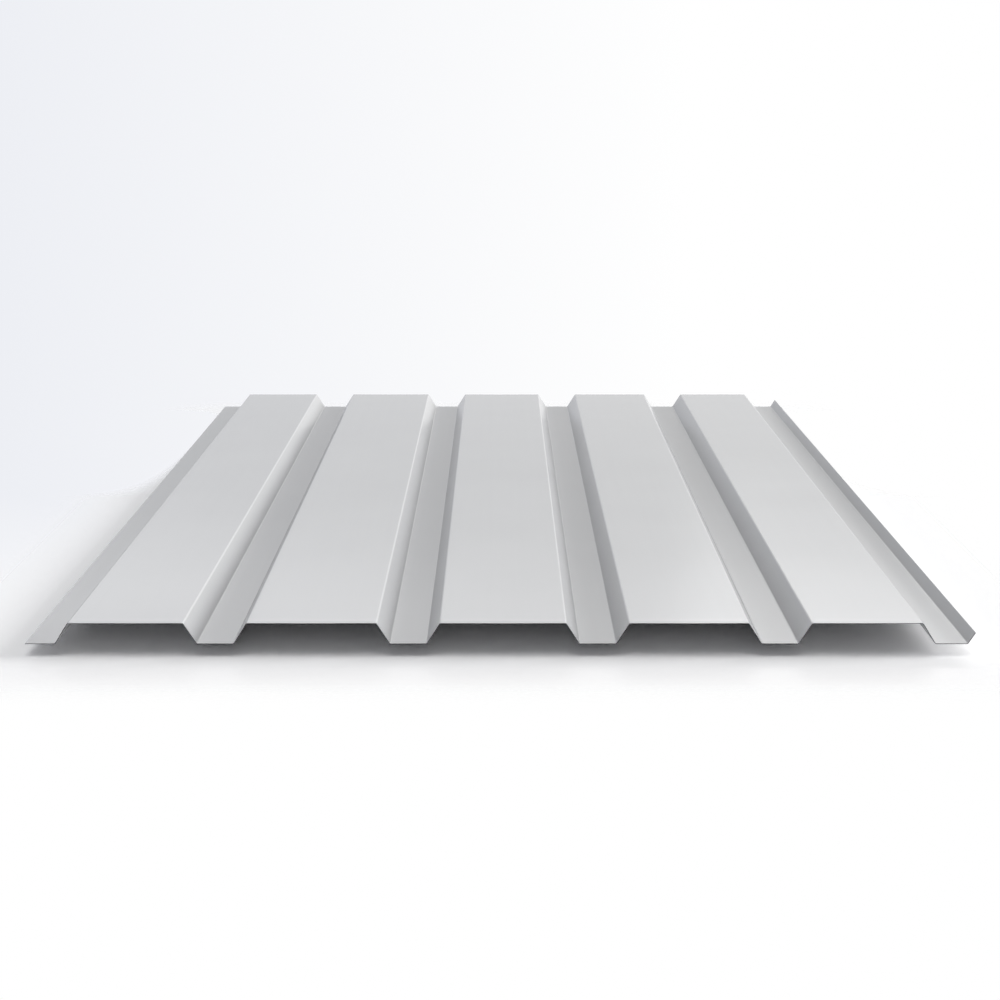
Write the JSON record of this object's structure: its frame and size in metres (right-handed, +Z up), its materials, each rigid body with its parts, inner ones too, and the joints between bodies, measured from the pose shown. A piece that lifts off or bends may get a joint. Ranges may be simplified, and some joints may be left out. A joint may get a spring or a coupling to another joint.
{
  "type": "corrugated metal sheet",
  "caption": "Trapezoidal corrugated metal cladding sheet with wide flat crests, narrow valleys, a flat lap lip on one edge and a turned-up return on the other.",
  "frame": {"origin": "under the middle of the sheet, in the plane that the undersides of its valleys rest on", "axes": "+Z up, out of the crests; +Y along the crests; +X across the sheet, from the lap lip to the return"},
  "size_m": [1.0414, 1.5, 0.024],
  "materials": {
    "coated_steel": "smooth satin light grey coil coating"
  },
  "bodies": {
    "root": {"corrugated_sheet": "coated_steel"}
  },
  "joints": []
}
